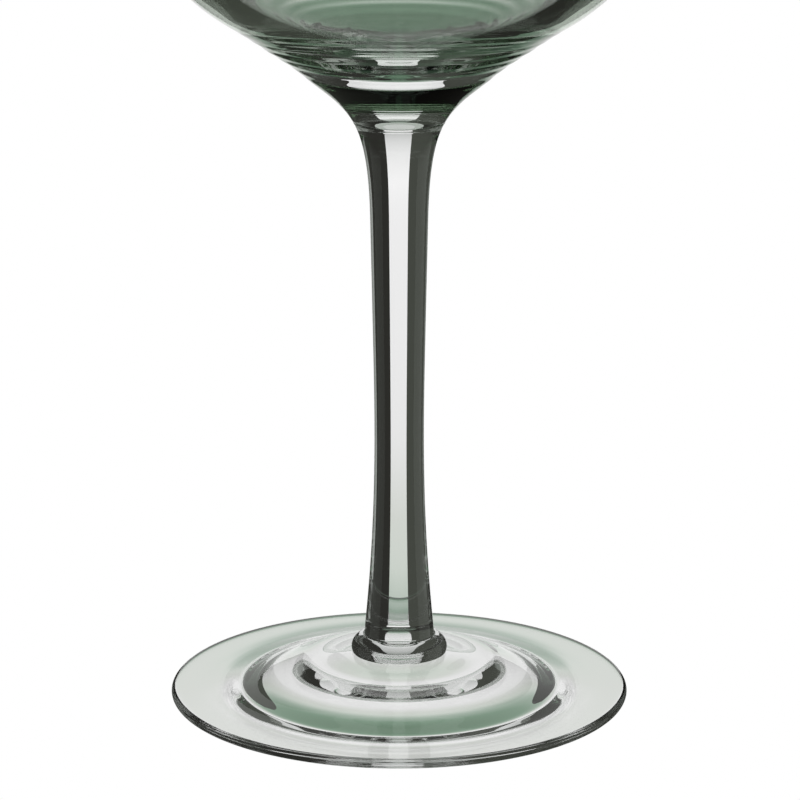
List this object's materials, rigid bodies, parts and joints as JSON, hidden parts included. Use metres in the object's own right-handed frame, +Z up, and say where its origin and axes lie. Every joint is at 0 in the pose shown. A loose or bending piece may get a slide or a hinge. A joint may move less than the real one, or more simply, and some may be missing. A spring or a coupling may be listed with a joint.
{
  "type": "wine glass",
  "caption": "Stemmed wine glass with a rounded, thick-based bowl of clear glass lined in green, a drawn stem, a round collar and a domed foot.",
  "frame": {"origin": "on the glass's axis, in the plane of the flat ring that it stands on", "axes": "+Z up along the stem, from the foot to the mouth of the bowl; the glass is round about Z"},
  "size_m": [0.1038, 0.1038, 0.225],
  "materials": {
    "clear_glass": "fire-polished clear glass with a faint green-grey tint in its thick parts",
    "green_glass": "fire-polished transparent grey-green glass"
  },
  "bodies": {
    "root": {"foot": "clear_glass", "stem_collar": "clear_glass", "stem": "clear_glass", "bowl": "clear_glass", "bowl_colour_layer": "green_glass"}
  },
  "joints": []
}
